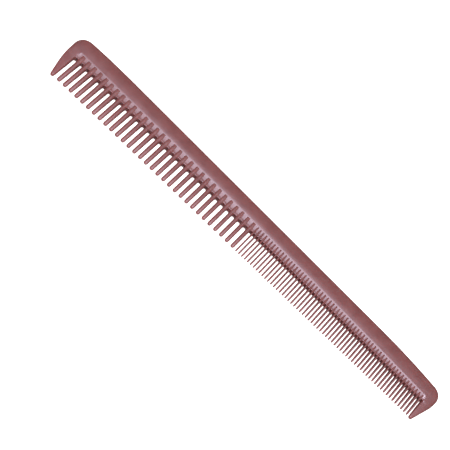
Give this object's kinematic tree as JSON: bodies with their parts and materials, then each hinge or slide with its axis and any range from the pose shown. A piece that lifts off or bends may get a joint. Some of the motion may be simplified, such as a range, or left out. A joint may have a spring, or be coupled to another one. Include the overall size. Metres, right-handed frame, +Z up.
{
  "type": "barber's cutting comb",
  "caption": "Barber's cutting comb: one plastic moulding with wide teeth on one half, narrow teeth on the other and a guard tooth at each end.",
  "frame": {"origin": "centre of the comb's box, on the plane it lies on", "axes": "+X along the comb from the coarse end to the fine end, +Y from the tooth tips to the back edge, +Z up through the thickness"},
  "size_m": [0.1804, 0.0212, 0.004],
  "materials": {
    "comb_plastic": "satin moulded, brown-mauve, slightly translucent where thin"
  },
  "bodies": {
    "root": {"spine": "comb_plastic", "coarse_end_guard": "comb_plastic", "fine_end_guard": "comb_plastic", "coarse_tooth_01": "comb_plastic", "coarse_tooth_02": "comb_plastic", "coarse_tooth_03": "comb_plastic", "coarse_tooth_04": "comb_plastic", "coarse_tooth_05": "comb_plastic", "coarse_tooth_06": "comb_plastic", "coarse_tooth_07": "comb_plastic", "coarse_tooth_08": "comb_plastic", "coarse_tooth_09": "comb_plastic", "coarse_tooth_10": "comb_plastic", "coarse_tooth_11": "comb_plastic", "coarse_tooth_12": "comb_plastic", "coarse_tooth_13": "comb_plastic", "coarse_tooth_14": "comb_plastic", "coarse_tooth_15": "comb_plastic", "coarse_tooth_16": "comb_plastic", "coarse_tooth_17": "comb_plastic", "coarse_tooth_18": "comb_plastic", "coarse_tooth_19": "comb_plastic", "coarse_tooth_20": "comb_plastic", "coarse_tooth_21": "comb_plastic", "coarse_tooth_22": "comb_plastic", "coarse_tooth_23": "comb_plastic", "coarse_tooth_24": "comb_plastic", "coarse_tooth_25": "comb_plastic", "coarse_tooth_26": "comb_plastic", "coarse_tooth_27": "comb_plastic", "coarse_tooth_28": "comb_plastic", "coarse_tooth_29": "comb_plastic", "coarse_tooth_30": "comb_plastic", "coarse_tooth_31": "comb_plastic", "fine_teeth": "comb_plastic"}
  },
  "joints": []
}
